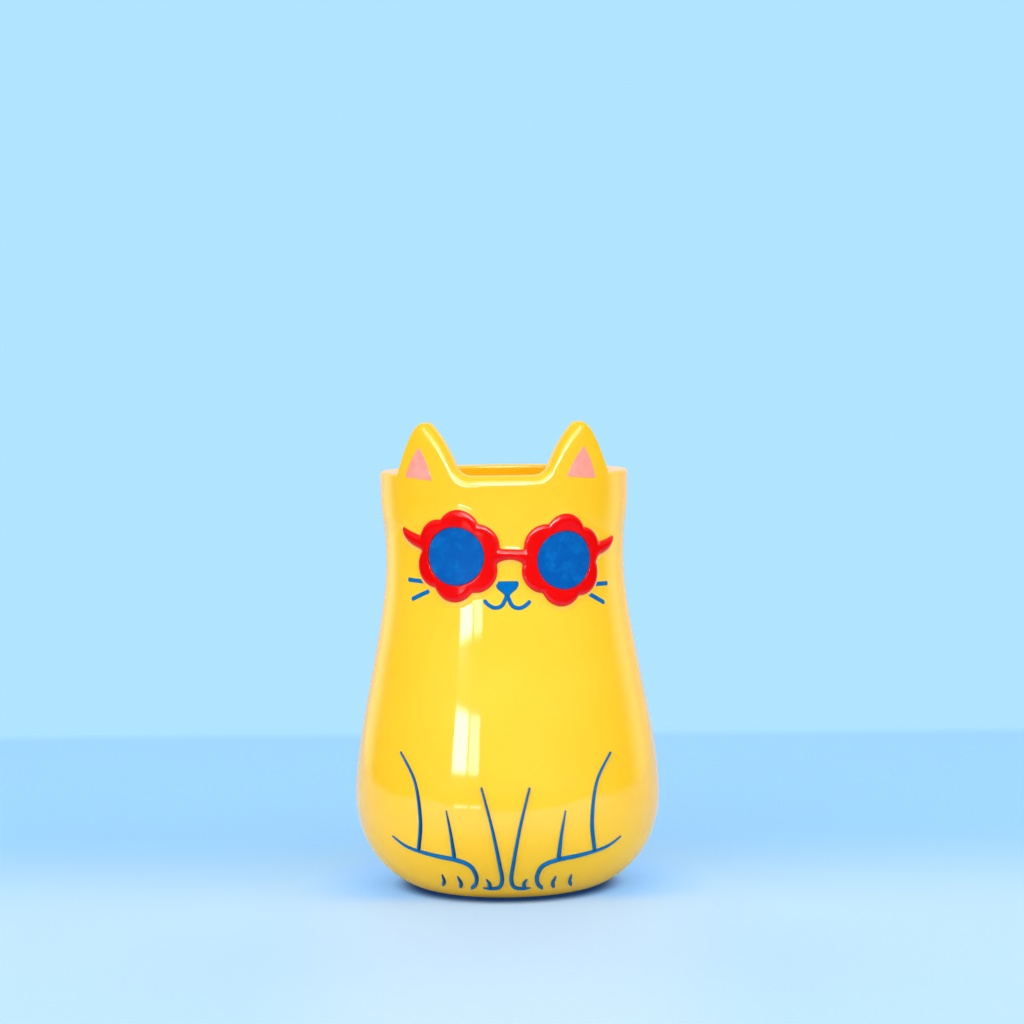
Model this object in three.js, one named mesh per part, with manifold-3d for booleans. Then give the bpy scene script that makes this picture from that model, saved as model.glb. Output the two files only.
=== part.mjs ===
// A slip-cast, glazed earthenware vase in the shape of a sitting cat that wears flower-rimmed sunglasses.
// Millimetres, +Z up. The origin is on the surface that the vase stands on, under the vase's axis.
// The cat looks along -Y, and left and right are as seen from in front of it.

import * as THREE from "three";
import { mergeVertices } from "three/addons/utils/BufferGeometryUtils.js";
import Module from "manifold-3d";

const wasm = await Module();
wasm.setup();

// Body of the vase, which stands on a foot ring that is set in under its bottom edge
const footRadius = 31.2;
const footRingWidth = 4.4;
const footHeight = 1;
const footRecess = 1.5;
const bottomRadius = 35.7;
const bellyRadius = 57.75;
const bellyHeight = 35.2;
const neckRadius = 45.1;
const neckHeight = 123.8;
const rimRadius = 46.75;
const rimHeight = 157.8;
const wall = 7;
const floorThickness = 6.5;

// Lip: all but square at the shoulders and the back, and well rounded between the tips of the ears
const lipRound = 1.1;
const frontLipRound = 4;
const frontLipInside = 2.4;
const lipBlend = 4;

// How far each stretch of the wall's line runs on along its end tangents, as a share of the stretch
const bottomSpread = 0.07;
const bellyTuck = 0.753;
const flankEase = 0.28;
const flareEase = 0.6;

// Ears, which rise out of the front of the rim
const earAzimuth = THREE.MathUtils.degToRad(40.25);
const earShift = -0.55;
const earRise = 19.2;
const earFootSlope = THREE.MathUtils.degToRad(64.3);
const earTipTurn = THREE.MathUtils.degToRad(38.5);
const earInnerReach = 14.3;
const earOuterReach = 12.8;
const earTipRadius = 2.2;
const earFillet = 7;
const innerEarWidth = 13.8;
const innerEarRise = 11.2;
const innerEarDrop = 1.3;
const innerEarTip = 1.7;
const innerEarShift = -1.8;
const innerEarTurn = THREE.MathUtils.degToRad(-4.5);

// Sunglasses: a frame in relief with two flower-shaped rims, a bridge and two swept-up corners
const glassesDrop = 30.3;
const glassesShift = 2.25;
const glassesTilt = THREE.MathUtils.degToRad(-2.8);
const lensSpacing = 40.6;
const lensRadius = 10.9;
const petalCount = 6;
const petalRadius = 8.3;
const petalReach = 6.2;
const petalTurn = THREE.MathUtils.degToRad(-3);
const frameRise = 2;
const frameRoll = 2.4;
const lensRise = 1.5;
const bridgeLift = 1.6;
const bridgeSag = 1.8;
const bridgeWidth = 3.8;
const cornerReach = 8.1;
const cornerLift = 8.9;

// Face below the sunglasses
const faceShift = 0.85;
const faceTilt = THREE.MathUtils.degToRad(-1.65);
const noseDrop = 38.45;
const noseWidth = 8.4;
const noseHeight = 5.1;
const mouthHalfWidth = 8.25;
const mouthDepth = 4.35;
const mouthLine = 1.5;
const whiskerLine = 1.6;
const whiskerGap = 0.4;
const whiskers = {
  upper_whisker: { drop: 9.85, length: 8.4, slope: 0 },
  lower_whisker: { drop: 13.1, length: 9.6, slope: THREE.MathUtils.degToRad(-23) },
};

// Lines of the legs and paws
const legShift = -0.85;
const legLine = 1.5;
const toeLine = 1.7;
const lineRise = 0.9;

// Every applied piece lies this far off the wall, or off its neighbour, and a painted patch is this proud
const seat = 0.3;
const paintRise = 0.7;

// Facets. The rows of the wall and of the cavity are counted for each stretch of the wall's line.
const columnPitch = 5.2;
const arcColumns = 6;
const wallRows = 8;
const collarRows = 3;
const lipRows = 3;
const cavityRows = 5;
const rimFacets = 60;
const patchFacets = 30;
const lineSteps = 12;

const lipStart = rimHeight - frontLipRound;

// The wall's line in the radius-height plane, from the bottom edge up to where the lip starts.
// inset moves it in from the outside of the wall.
function wallLine(inset, startRadius, startHeight) {
  const belly = bellyRadius - inset;
  const neck = neckRadius - inset;
  const rim = rimRadius - inset;
  const rise = bellyHeight - startHeight;
  const flank = neckHeight - bellyHeight;
  const flare = lipStart - neckHeight;
  const line = new THREE.Path();
  line.moveTo(startRadius, startHeight);
  line.bezierCurveTo(
    startRadius + bottomSpread * (belly - startRadius), startHeight,
    belly, bellyHeight - bellyTuck * rise,
    belly, bellyHeight,
  );
  line.bezierCurveTo(
    belly, bellyHeight + flankEase * flank,
    neck, neckHeight - flankEase * flank,
    neck, neckHeight,
  );
  line.bezierCurveTo(
    neck, neckHeight + flareEase * flare,
    rim, lipStart - flareEase * flare,
    rim, lipStart,
  );
  return line;
}

const lineSamples = 120;
const outerSamples = wallLine(0, bottomRadius, footHeight).getPoints(lineSamples);

// Radius of the outside of the wall at a height. Above the lip's start the wall goes straight up.
function radiusAt(height) {
  const above = outerSamples.findIndex((p) => p.y > height);
  if (above < 0) return rimRadius;
  if (above === 0) return bottomRadius;
  const low = outerSamples[above - 1];
  const high = outerSamples[above];
  return THREE.MathUtils.mapLinear(height, low.y, high.y, low.x, high.x);
}

// A point near the wall: across is measured along the wall from the front, proud is out from its surface.
function onWall(across, height, proud) {
  const radius = radiusAt(height);
  const reach = 0.5;
  const lean = (radiusAt(height + reach) - radiusAt(height - reach)) / (2 * reach);
  const normal = new THREE.Vector2(1, -lean).normalize();
  const azimuth = across / radius;
  const out = radius + proud * normal.x;
  return new THREE.Vector3(out * Math.sin(azimuth), -out * Math.cos(azimuth), height + proud * normal.y);
}

// A closed solid through rows of points. A row is a ring of points that runs counter-clockwise about the
// direction in which the rows follow each other, or the single point that closes an end.
function loft(rows, endless = false) {
  const starts = [];
  const positions = [];
  for (const row of rows) {
    starts.push(positions.length / 3);
    row.forEach((p) => positions.push(p.x, p.y, p.z));
  }
  const faces = [];
  const pairs = endless ? rows.length : rows.length - 1;
  for (let r = 0; r < pairs; r++) {
    const next = (r + 1) % rows.length;
    const count = Math.max(rows[r].length, rows[next].length);
    for (let i = 0; i < count; i++) {
      const j = (i + 1) % count;
      const [a, b] = [i, j].map((k) => starts[r] + (rows[r].length > 1 ? k : 0));
      const [c, d] = [i, j].map((k) => starts[next] + (rows[next].length > 1 ? k : 0));
      if (a !== b) faces.push(a, b, d);
      if (c !== d) faces.push(a, d, c);
    }
  }
  const geometry = new THREE.BufferGeometry();
  geometry.setAttribute("position", new THREE.Float32BufferAttribute(positions, 3));
  geometry.setIndex(faces);
  return geometry;
}

function toSolid(geometry) {
  const merged = mergeVertices(geometry);
  return new wasm.Manifold(
    new wasm.Mesh({
      numProp: 3,
      vertProperties: new Float32Array(merged.attributes.position.array),
      triVerts: new Uint32Array(merged.index.array),
    }),
  );
}

// Several overlapping solids as one
function join(geometries) {
  const mesh = geometries.map(toSolid).reduce((whole, part) => whole.add(part)).getMesh();
  const geometry = new THREE.BufferGeometry();
  geometry.setAttribute("position", new THREE.Float32BufferAttribute(mesh.vertProperties, 3));
  geometry.setIndex([...mesh.triVerts]);
  return geometry;
}

// The upper edge of the wall from the middle of the front to the middle of the back, unrolled along the
// middle of the wall: over the front of the rim, up the inner side of an ear, round its tip and down again
function halfSkyline() {
  const middle = rimRadius - wall / 2;
  const quarter = Math.PI / 2;
  const tip = earAzimuth * middle;
  const tipX = earTipRadius * Math.sin(earTipTurn);
  const tipY = earRise - earTipRadius * (1 - Math.cos(earTipTurn));
  const straight = earFillet * Math.tan(earFootSlope / 2);

  // where the tangent at the end of the tip's arc meets the tangent at a foot of the ear
  const bend = (reach) => {
    const run = (reach - tipX) * Math.sin(earFootSlope) - tipY * Math.cos(earFootSlope);
    const far = run / Math.sin(earFootSlope - earTipTurn);
    return new THREE.Vector2(tipX + far * Math.cos(earTipTurn), tipY - far * Math.sin(earTipTurn));
  };
  const inner = bend(earInnerReach);
  const outer = bend(earOuterReach);

  const edge = new THREE.Path();
  edge.moveTo(0, 0);
  edge.lineTo(tip - earInnerReach - straight, 0);
  edge.absarc(tip - earInnerReach - straight, earFillet, earFillet, -quarter, earFootSlope - quarter, false);
  edge.quadraticCurveTo(tip - inner.x, inner.y, tip - tipX, tipY);
  edge.absarc(tip, earRise - earTipRadius, earTipRadius, quarter + earTipTurn, quarter - earTipTurn, true);
  edge.quadraticCurveTo(tip + outer.x, outer.y, tip + earOuterReach, 0);
  edge.lineTo(Math.PI * middle, 0);

  const columns = [];
  for (const curve of edge.curves.filter((c) => c.getLength() > seat)) {
    const count = curve.isEllipseCurve ? arcColumns : Math.ceil(curve.getLength() / columnPitch);
    for (let i = 0; i < count; i++) {
      const p = curve.getPoint(i / count);
      const plain = THREE.MathUtils.smoothstep(p.x - tip, -lipBlend, lipBlend);
      columns.push({
        azimuth: p.x / middle,
        top: rimHeight + p.y,
        outerRound: THREE.MathUtils.lerp(frontLipRound, lipRound, plain),
        innerRound: THREE.MathUtils.lerp(frontLipInside, lipRound, plain),
      });
    }
  }
  columns.push({ azimuth: Math.PI, top: rimHeight, outerRound: lipRound, innerRound: lipRound });
  return columns;
}

// All the way round, from the front by the right-hand ear to the back and by the left-hand ear to the front
function skyline() {
  const right = halfSkyline();
  const left = right.slice(1, -1).reverse().map((column) => ({ ...column, azimuth: -column.azimuth }));
  const turn = earShift / rimRadius;
  return [...right, ...left].map((column) => ({ ...column, azimuth: column.azimuth + turn }));
}

// Body: foot ring, outside of the wall, lip and ears, then the cavity down to its floor
function bodyGeometry() {
  const columns = skyline();
  const collarStart = (neckHeight + lipStart) / 2;
  const floorHeight = footRecess + floorThickness;
  const outside = wallLine(0, bottomRadius, footHeight).getPoints(wallRows).filter((p) => p.y < collarStart);
  const inside = wallLine(wall, bottomRadius - wall, floorHeight)
    .getPoints(cavityRows)
    .filter((p) => p.y < collarStart)
    .reverse();

  const ring = (place) =>
    columns.map((column) => {
      const [radius, height] = place(column);
      return new THREE.Vector3(
        radius * Math.sin(column.azimuth), -radius * Math.cos(column.azimuth), height,
      );
    });
  const collar = (share, inset, round) =>
    ring((column) => {
      const height = THREE.MathUtils.lerp(collarStart, column.top - column[round], share);
      return [radiusAt(height) - inset, height];
    });
  const outerLip = (angle) =>
    ring(({ top, outerRound }) => [
      rimRadius - outerRound + outerRound * Math.cos(angle),
      top - outerRound + outerRound * Math.sin(angle),
    ]);
  const innerLip = (angle) =>
    ring(({ top, innerRound }) => [
      rimRadius - wall + innerRound - innerRound * Math.sin(angle),
      top - innerRound + innerRound * Math.cos(angle),
    ]);
  const turns = [...Array(lipRows + 1).keys()].map((i) => (Math.PI * i) / (2 * lipRows));

  const rows = [[new THREE.Vector3(0, 0, footRecess)]];
  rows.push(ring(() => [footRadius - footRingWidth - footRecess, footRecess]));
  rows.push(ring(() => [footRadius - footRingWidth, 0]));
  rows.push(ring(() => [footRadius, 0]));
  rows.push(ring(() => [footRadius, footHeight]));
  outside.forEach((p) => rows.push(ring(() => [p.x, p.y])));
  for (let i = 0; i < collarRows; i++) rows.push(collar(i / collarRows, 0, "outerRound"));
  turns.forEach((angle) => rows.push(outerLip(angle)));
  turns.forEach((angle) => rows.push(innerLip(angle)));
  for (let i = collarRows - 1; i >= 0; i--) rows.push(collar(i / collarRows, wall, "innerRound"));
  inside.forEach((p) => rows.push(ring(() => [p.x, p.y])));
  rows.push([new THREE.Vector3(0, 0, floorHeight)]);
  return loft(rows);
}

// A raised line along a curve on the wall. The curve's points are across and height, and halfWidth is a
// function of the share of the way along it. The section is a low arch over a flat back.
function lineGeometry(curve, halfWidth, rise, steps = lineSteps) {
  const arch = [0, 45, 90, 135, 180].map(THREE.MathUtils.degToRad);
  const along = (share, side, proud) => {
    const p = curve.getPointAt(share);
    const t = curve.getTangentAt(share);
    return onWall(p.x - t.y * side, p.y + t.x * side, proud);
  };
  const rows = [[along(0, 0, seat)]];
  for (let i = 1; i < steps; i++) {
    const share = (1 - Math.cos((Math.PI * i) / steps)) / 2;
    const half = halfWidth(share);
    const lift = Math.min(half, rise - seat);
    rows.push(arch.map((a) => along(share, half * Math.cos(a), seat + lift * Math.sin(a))));
  }
  rows.push([along(1, 0, seat)]);
  return loft(rows);
}

// Half the width of a line that swells from a fine point over the share taperIn and closes over taperOut
function tapered(width, taperIn, taperOut) {
  const swell = (share, taper) => Math.sin(Math.min(1, share / taper) * (Math.PI / 2));
  return (share) => (width / 2) * swell(share, taperIn) * swell(1 - share, taperOut);
}

// A thin patch on the wall inside an outline whose points are across and height, counter-clockwise as seen
// from the front. Its edge is square, or rolled over pairs of the outline's scale and the share of the rise.
function patchGeometry(outline, middle, rise, roll = [[1, 1]]) {
  const ring = (scale, proud) =>
    outline.map((p) => {
      const q = middle.clone().lerp(p, scale);
      return onWall(q.x, q.y, proud);
    });
  const back = seat;
  return loft([
    [onWall(middle.x, middle.y, back)],
    ring(0.5, back),
    ring(1, back),
    ...roll.map(([scale, share]) => ring(scale, THREE.MathUtils.lerp(back, rise, share))),
    ring(0.5, rise),
    [onWall(middle.x, middle.y, rise)],
  ]);
}

// From the sunglasses' own flat drawing to across and height on the wall
function onGlasses(u, v, tilt = glassesTilt) {
  const p = new THREE.Vector2(u, v).rotateAround(new THREE.Vector2(), tilt);
  return p.add(new THREE.Vector2(glassesShift, rimHeight - glassesDrop));
}

// Radius of a flower's outline: round petals side by side about the lens
function petalOutline(angle) {
  const pitch = (2 * Math.PI) / petalCount;
  const turned = angle - petalTurn - Math.PI / 2;
  const off = turned - pitch * Math.round(turned / pitch);
  const reach = lensRadius + petalReach - petalRadius;
  return reach * Math.cos(off) + Math.sqrt(petalRadius ** 2 - (reach * Math.sin(off)) ** 2);
}

// One flower rim about a lens: flat on top, rolled down to the wall along the petals
function rimGeometry(lensCentre) {
  const rows = [];
  for (let i = 0; i < rimFacets; i++) {
    const angle = (2 * Math.PI * i) / rimFacets;
    const outer = petalOutline(angle);
    const section = [[lensRadius, seat], [lensRadius, frameRise], [outer - frameRoll, frameRise]];
    for (const turn of [30, 60, 90].map(THREE.MathUtils.degToRad)) {
      const radius = outer - frameRoll + frameRoll * Math.sin(turn);
      section.push([radius, seat + (frameRise - seat) * Math.cos(turn)]);
    }
    rows.push(
      section.map(([radius, proud]) => {
        const p = onGlasses(lensCentre + radius * Math.cos(angle), radius * Math.sin(angle));
        return onWall(p.x, p.y, proud);
      }),
    );
  }
  return loft(rows, true);
}

// The bar between the rims: straight along the top and arched over the nose
function bridgeGeometry() {
  const end = lensSpacing / 2 - lensRadius - frameRoll;
  const drop = (u) => bridgeSag * (u / end) ** 2;
  const drawn = [-1, -0.5, 0, 0.5, 1].map((s) => onGlasses(s * end, bridgeLift - drop(s * end)));
  const halfWidth = (share) => bridgeWidth / 2 + drop((2 * share - 1) * end);
  return lineGeometry(new THREE.SplineCurve(drawn), halfWidth, frameRise);
}

// A swept-up corner at the outer side of a rim: a fin whose lower edge swings up to the tip
function cornerGeometry(side) {
  const inner = lensSpacing / 2 + lensRadius + seat;
  const tip = lensSpacing / 2 + lensRadius + petalReach + cornerReach;
  const along = (share) => inner + share * (tip - inner);
  const shape = new THREE.Shape();
  shape.moveTo(inner, cornerLift * 0.07);
  shape.bezierCurveTo(along(0.68), cornerLift * 0.24, along(1.01), cornerLift * 0.48, tip, cornerLift);
  shape.quadraticCurveTo(along(0.57), cornerLift * 0.79, inner, cornerLift * 0.63);
  shape.closePath();
  const outline = shape.getSpacedPoints(patchFacets).slice(0, -1).map((p) => onGlasses(side * p.x, p.y));
  if (side < 0) outline.reverse();
  const middle = onGlasses(side * along(0.57), cornerLift * 0.52);
  return patchGeometry(outline, middle, frameRise - seat / 2, [[0.96, 0.5], [0.87, 0.87], [0.75, 1]]);
}

function frameGeometry() {
  const half = lensSpacing / 2;
  return join([
    rimGeometry(-half),
    rimGeometry(half),
    bridgeGeometry(),
    cornerGeometry(-1),
    cornerGeometry(1),
  ]);
}

function lensGeometry(side) {
  const centre = (side * lensSpacing) / 2;
  const radius = lensRadius - seat;
  const outline = [];
  for (let i = 0; i < patchFacets; i++) {
    const angle = (2 * Math.PI * i) / patchFacets;
    outline.push(onGlasses(centre + radius * Math.cos(angle), radius * Math.sin(angle)));
  }
  return patchGeometry(outline, onGlasses(centre, 0), lensRise);
}

// Evenly spaced points of a closed outline, moved to its place on the wall
function outlinePoints(shape, across, height) {
  const place = new THREE.Vector2(across, height);
  return shape.getSpacedPoints(patchFacets).slice(0, -1).map((p) => p.add(place));
}

// The inside of an ear: an upright triangle with a rounded tip
function innerEarGeometry(side) {
  const half = innerEarWidth / 2;
  const shape = new THREE.Shape();
  shape.moveTo(-half, 0);
  shape.lineTo(half, 0);
  shape.quadraticCurveTo(half * 0.6, innerEarRise * 0.62, innerEarTip, innerEarRise - innerEarTip);
  shape.quadraticCurveTo(0, innerEarRise + innerEarTip, -innerEarTip, innerEarRise - innerEarTip);
  shape.quadraticCurveTo(-half * 0.6, innerEarRise * 0.62, -half, 0);
  const foot = new THREE.Vector2(side * earAzimuth * rimRadius + innerEarShift, rimHeight - innerEarDrop);
  const outline = outlinePoints(shape, foot.x, foot.y).map((p) => p.rotateAround(foot, innerEarTurn));
  const middle = new THREE.Vector2(foot.x, foot.y + innerEarRise * 0.35);
  return patchGeometry(outline, middle, paintRise);
}

// A nose with a flat top and soft corners that narrows to the line of the mouth
function noseGeometry() {
  const half = noseWidth / 2;
  const tip = mouthLine * 0.6;
  const shape = new THREE.Shape();
  shape.moveTo(0, 0);
  shape.lineTo(-half * 0.75, 0);
  shape.bezierCurveTo(-half * 1.15, 0, -half * 1.05, -noseHeight * 0.35, -half * 0.75, -noseHeight * 0.6);
  shape.quadraticCurveTo(-tip * 1.4, -noseHeight * 0.85, -tip, -noseHeight);
  shape.lineTo(tip, -noseHeight);
  shape.quadraticCurveTo(tip * 1.4, -noseHeight * 0.85, half * 0.75, -noseHeight * 0.6);
  shape.bezierCurveTo(half * 1.05, -noseHeight * 0.35, half * 1.15, 0, half * 0.75, 0);
  shape.closePath();
  const top = rimHeight - noseDrop;
  const middle = new THREE.Vector2(faceShift, top - noseHeight * 0.4);
  return patchGeometry(outlinePoints(shape, faceShift, top), middle, paintRise);
}

// A mouth of two curves that hang from one stem and turn up at the ends
function mouthGeometry() {
  const top = new THREE.Vector2(faceShift, rimHeight - noseDrop - noseHeight - seat);
  const stroke = (side, drawn) => {
    const points = drawn.map(([u, v]) =>
      new THREE.Vector2(side * mouthHalfWidth * u, mouthDepth * v).add(top).rotateAround(top, faceTilt));
    return lineGeometry(new THREE.SplineCurve(points), tapered(mouthLine, 0.06, 0.06), paintRise);
  };
  const curl = [[0, -0.35], [0.2, -0.8], [0.54, -1], [0.84, -0.74], [1.02, -0.4]];
  return join([stroke(1, [[0, 0], [0, -0.6]]), stroke(-1, curl), stroke(1, curl)]);
}

// Whiskers are straight strokes that start just clear of the rims
function whiskerGeometry(side, { drop, length, slope }) {
  const inner = lensSpacing / 2 + Math.sqrt((lensRadius + petalReach) ** 2 - drop ** 2) + whiskerGap;
  const start = onGlasses(side * inner, -drop, faceTilt);
  const outer = inner + length * Math.cos(slope);
  const end = onGlasses(side * outer, length * Math.sin(slope) - drop, faceTilt);
  return lineGeometry(new THREE.LineCurve(start, end), tapered(whiskerLine, 0.12, 0.12), paintRise);
}

// Lines of one leg on the right-hand side, given as across and height above the bottom edge
const legLines = {
  haunch_line: { points: [[42.2, 54.7], [35.5, 45.2], [33.1, 31.2], [34.2, 20.4]], taper: [0.9, 0.03] },
  hind_paw_line: {
    points: [[47.6, 23.4], [39.6, 20.1], [28.4, 18.1], [18.9, 16.9], [13.6, 14.9], [11.1, 10], [12.7, 5]],
    taper: [0.5, 0.05],
  },
  foreleg_outer_line: { points: [[22.25, 35.5], [20.6, 27.2], [19.5, 18.6]], taper: [0.9, 0.03] },
  foreleg_inner_line: {
    points: [[8.85, 44.5], [5.1, 29.7], [2.3, 14.4], [1.7, 8.6], [3, 5.2], [5.6, 4.5], [8.9, 4.7]],
    taper: [0.7, 0.2],
  },
  outer_hind_toe: { points: [[24.8, 10.3], [24.15, 7.4], [24.9, 5.1]], taper: [0.9, 0.05], width: toeLine },
  inner_hind_toe: { points: [[18.5, 10.1], [17.3, 7.3], [17.4, 4.8]], taper: [0.9, 0.05], width: toeLine },
  fore_toe: { points: [[7.5, 9.4], [6.4, 7.4], [6.2, 5.9]], taper: [0.9, 0.05], width: toeLine },
};

function legLineGeometry(side, { points, taper, width = legLine }) {
  const drawn = points.map(([u, v]) => new THREE.Vector2(legShift + side * u, footHeight + v));
  return lineGeometry(new THREE.SplineCurve(drawn), tapered(width, ...taper), lineRise);
}

// Glazes
const glaze = (color, roughness) => new THREE.MeshStandardMaterial({ color, roughness, metalness: 0 });
const yellowGlaze = glaze(0xfac81e, 0.08);
const redGlaze = glaze(0xe60a0f, 0.1);
const lensBlue = glaze(0x0a62c0, 0.3);
const lineBlue = glaze(0x0a78d2, 0.15);
const earPink = glaze(0xf7a29b, 0.35);

const vase = new THREE.Group();

function addPiece(name, geometry, material) {
  const piece = new THREE.Mesh(geometry, material);
  piece.name = name;
  vase.add(piece);
}

addPiece("vase_body", bodyGeometry(), yellowGlaze);
addPiece("sunglasses_frame", frameGeometry(), redGlaze);
addPiece("nose", noseGeometry(), lineBlue);
addPiece("mouth", mouthGeometry(), lineBlue);
for (const [name, side] of [["left", -1], ["right", 1]]) {
  addPiece(`${name}_lens`, lensGeometry(side), lensBlue);
  addPiece(`${name}_inner_ear`, innerEarGeometry(side), earPink);
  for (const [stroke, drawing] of Object.entries(whiskers)) {
    addPiece(`${name}_${stroke}`, whiskerGeometry(side, drawing), lineBlue);
  }
  for (const [line, drawing] of Object.entries(legLines)) {
    addPiece(`${name}_${line}`, legLineGeometry(side, drawing), lineBlue);
  }
}

export default vase;
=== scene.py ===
import math

import bmesh
import bpy
import numpy as np
from mathutils import Matrix, Vector


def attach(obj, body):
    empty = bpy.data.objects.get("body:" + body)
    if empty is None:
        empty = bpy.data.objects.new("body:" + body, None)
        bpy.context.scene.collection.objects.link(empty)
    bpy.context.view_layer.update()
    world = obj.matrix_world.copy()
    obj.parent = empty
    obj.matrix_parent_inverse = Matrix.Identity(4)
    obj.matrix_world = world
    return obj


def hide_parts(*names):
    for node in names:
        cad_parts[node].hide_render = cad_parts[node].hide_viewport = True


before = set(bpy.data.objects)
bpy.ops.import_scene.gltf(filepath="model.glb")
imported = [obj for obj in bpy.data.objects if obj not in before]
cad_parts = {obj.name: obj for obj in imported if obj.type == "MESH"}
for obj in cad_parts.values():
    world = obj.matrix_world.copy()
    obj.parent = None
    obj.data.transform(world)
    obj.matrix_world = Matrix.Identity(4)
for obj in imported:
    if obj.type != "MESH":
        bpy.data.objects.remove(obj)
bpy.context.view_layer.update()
scene = bpy.context.scene
scene.view_settings.view_transform = "Standard"
mm = 0.001  # shapes are worked out in millimetres and written in metres


# Wall of the vase

vase = {
    "footRadius": 31.2,
    "footRingWidth": 4.4,
    "footHeight": 1.0,
    "footRecess": 1.5,
    "footRound": 0.5,
    "bottomRadius": 35.7,
    "bellyRadius": 57.75,
    "bellyHeight": 35.2,
    "neckRadius": 45.1,
    "neckHeight": 123.8,
    "rimRadius": 46.75,
    "rimHeight": 157.8,
    "wall": 7.0,
    "floorThickness": 6.5,
    "bottomSpread": 0.07,
    "bellyTuck": 0.753,
    "flankEase": 0.28,
    "flareEase": 0.6,
}
# the lip is nearly square behind the tips of the ears
lip = {"round": 1.1, "frontRound": 4.0, "frontInside": 2.4, "blend": 4.0}
lipStart = vase["rimHeight"] - lip["frontRound"]
floorHeight = vase["footRecess"] + vase["floorThickness"]


def bezier(a, b, c, d, count):
    # cubic blend of four points, weights (1-t)^3, 3t(1-t)^2, 3t^2(1-t), t^3
    t = np.linspace(0, 1, count)[:, None]
    a, b, c, d = (np.array(p, float) for p in (a, b, c, d))
    return a * (1 - t) ** 3 + 3 * b * t * (1 - t) ** 2 + 3 * c * t**2 * (1 - t) + d * t**3


def quadratic(a, b, c, count):
    # blend of three points, weights (1-t)^2, 2t(1-t), t^2, without the last point
    t = np.linspace(0, 1, count, endpoint=False)[:, None]
    a, b, c = (np.array(p, float) for p in (a, b, c))
    return a * (1 - t) ** 2 + 2 * b * t * (1 - t) + c * t**2


def straight(a, b, count):
    t = np.linspace(0, 1, count, endpoint=False)[:, None]
    return np.array(a, float) * (1 - t) + np.array(b, float) * t


def together(*values):
    # coordinates side by side in a last axis of their own
    return np.stack(np.broadcast_arrays(*values), axis=-1)


def walkAlong(line):
    # distance walked along a line at each of its points
    return np.concatenate(([0], np.cumsum(np.hypot(*np.diff(line, axis=0).T))))


def pointsAt(distances, walked, line):
    return together(*(np.interp(distances, walked, values) for values in line.T))


def smooth(t):
    t = np.clip(t, 0, 1)
    return t * t * (3 - 2 * t)


def wallStretches(inset, startRadius, startHeight, count):
    # radius and height along the wall: foot to belly, belly to neck, neck to lip
    start = np.array((startRadius, startHeight))
    belly = np.array((vase["bellyRadius"] - inset, vase["bellyHeight"]))
    neck = np.array((vase["neckRadius"] - inset, vase["neckHeight"]))
    rim = np.array((vase["rimRadius"] - inset, lipStart))
    outward = np.array((vase["bottomSpread"] * (belly[0] - startRadius), 0))
    tuck = np.array((0, vase["bellyTuck"] * (belly[1] - startHeight)))
    flank = np.array((0, vase["flankEase"] * (neck[1] - belly[1])))
    flare = np.array((0, vase["flareEase"] * (rim[1] - neck[1])))
    return (
        bezier(start, start + outward, belly - tuck, belly, count),
        bezier(belly, belly + flank, neck - flank, neck, count),
        bezier(neck, neck + flare, rim - flare, rim, count),
    )


outerLine = np.concatenate(wallStretches(0, vase["bottomRadius"], vase["footHeight"], 800))


def radiusAt(height):
    return np.interp(height, outerLine[:, 1], outerLine[:, 0])


def onWall(across, height, proud):
    # across runs round the wall from the front, proud stands out along the wall's own normal
    across, height, proud = np.broadcast_arrays(across, height, proud)
    radius = radiusAt(height)
    reach = 0.4  # how far up and down the wall's lean is measured
    lean = radiusAt(height + reach) - radiusAt(height - reach)
    length = np.hypot(lean, 2 * reach)
    azimuth = across / radius
    out = radius + proud * 2 * reach / length
    return together(out * np.sin(azimuth), -out * np.cos(azimuth), height - proud * lean / length)


# Meshes from rings of points

def ringFaces(rows, columns, endless=False):
    # quads between neighbouring rings, closed round each ring
    r = np.arange(rows if endless else rows - 1)[:, None]
    c = np.arange(columns)[None, :]
    r2, c2 = (r + 1) % rows, (c + 1) % columns
    corners = (r * columns + c, r * columns + c2, r2 * columns + c2, r2 * columns + c)
    return together(*corners).reshape(-1, 4)


def capFaces(firstOfRing, columns, pole, turned):
    c = np.arange(columns)
    a, b = firstOfRing + c, firstOfRing + (c + 1) % columns
    return together(b, a, pole) if turned else together(a, b, pole)


def loft(rings, start=None, end=None):
    # rings is rows x columns x 3; start and end are the points that close it
    rows, columns = rings.shape[:2]
    points = rings.reshape(-1, 3)
    faces = ringFaces(rows, columns).tolist()
    if start is not None:
        faces += capFaces(0, columns, len(points), True).tolist()
        points = np.vstack((points, start))
    if end is not None:
        faces += capFaces((rows - 1) * columns, columns, len(points), False).tolist()
        points = np.vstack((points, end))
    return points, faces


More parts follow.
